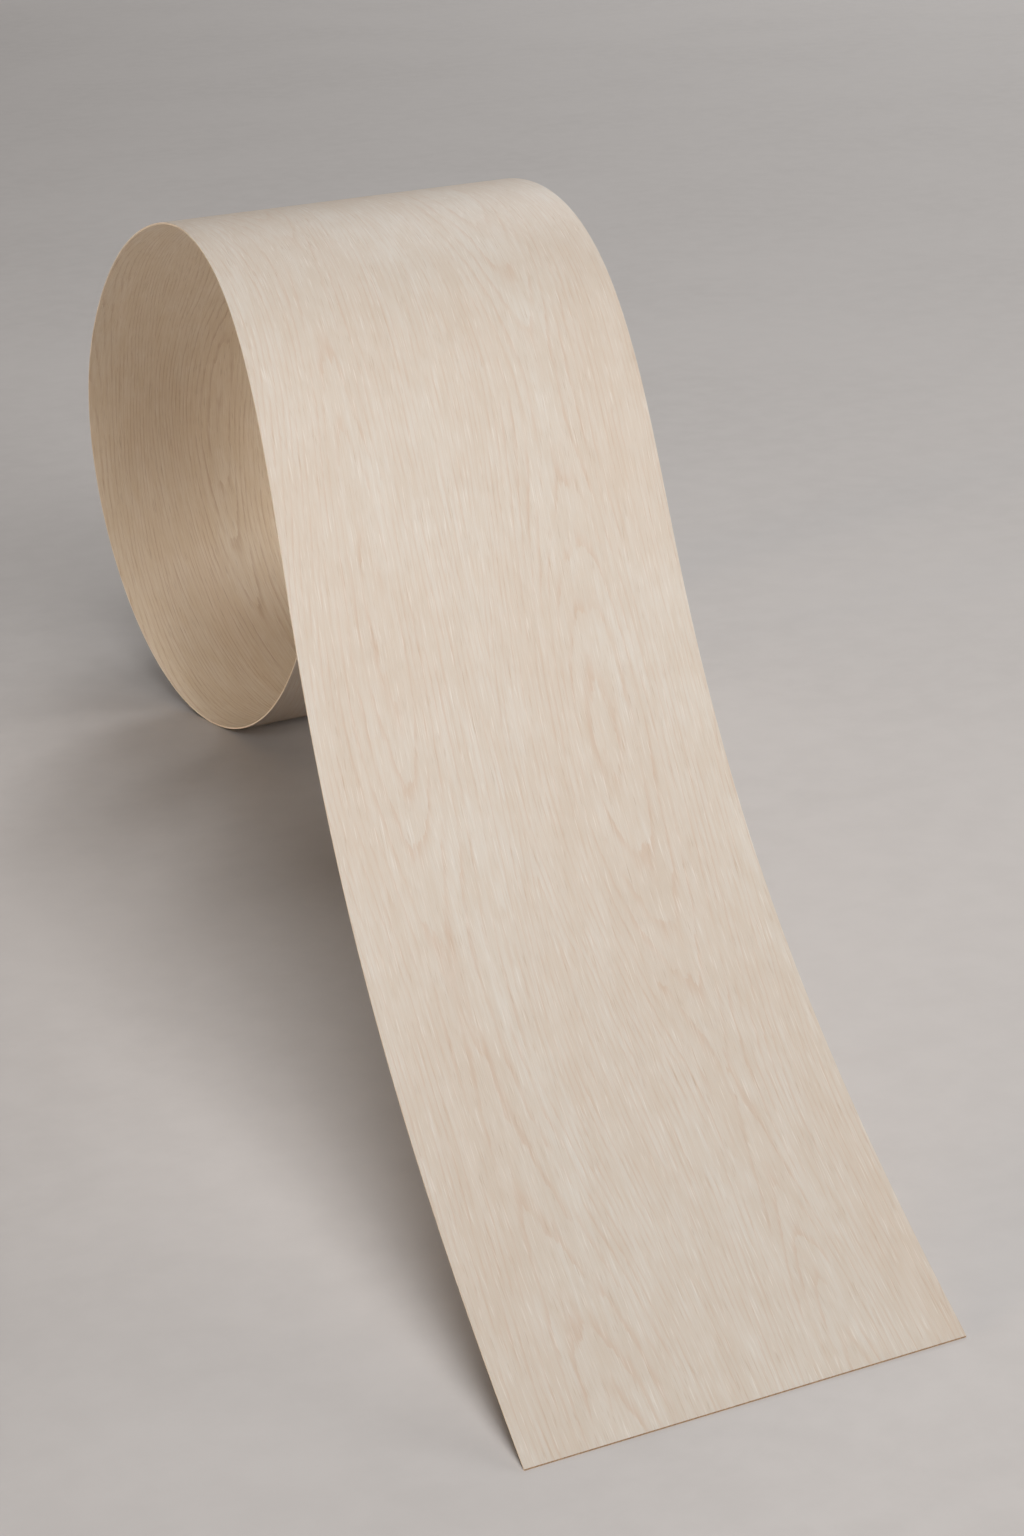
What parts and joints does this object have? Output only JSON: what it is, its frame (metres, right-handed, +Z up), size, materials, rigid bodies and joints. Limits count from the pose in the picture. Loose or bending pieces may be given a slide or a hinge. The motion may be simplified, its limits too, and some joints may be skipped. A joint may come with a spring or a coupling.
{
  "type": "wood veneer sheet",
  "caption": "Long strip of pale wood veneer lying loose, one end on the floor, rising in a tongue and rolling over into an open curl.",
  "frame": {"origin": "middle of the sheet's box at floor level", "axes": "+X along the bend lines, +Y from the resting end towards the curl, +Z up"},
  "size_m": [0.2916, 0.6457, 0.2466],
  "materials": {
    "veneer_wood": "fine-sanded raw wood, pale, matte"
  },
  "bodies": {
    "root": {"veneer_sheet": "veneer_wood"}
  },
  "joints": []
}
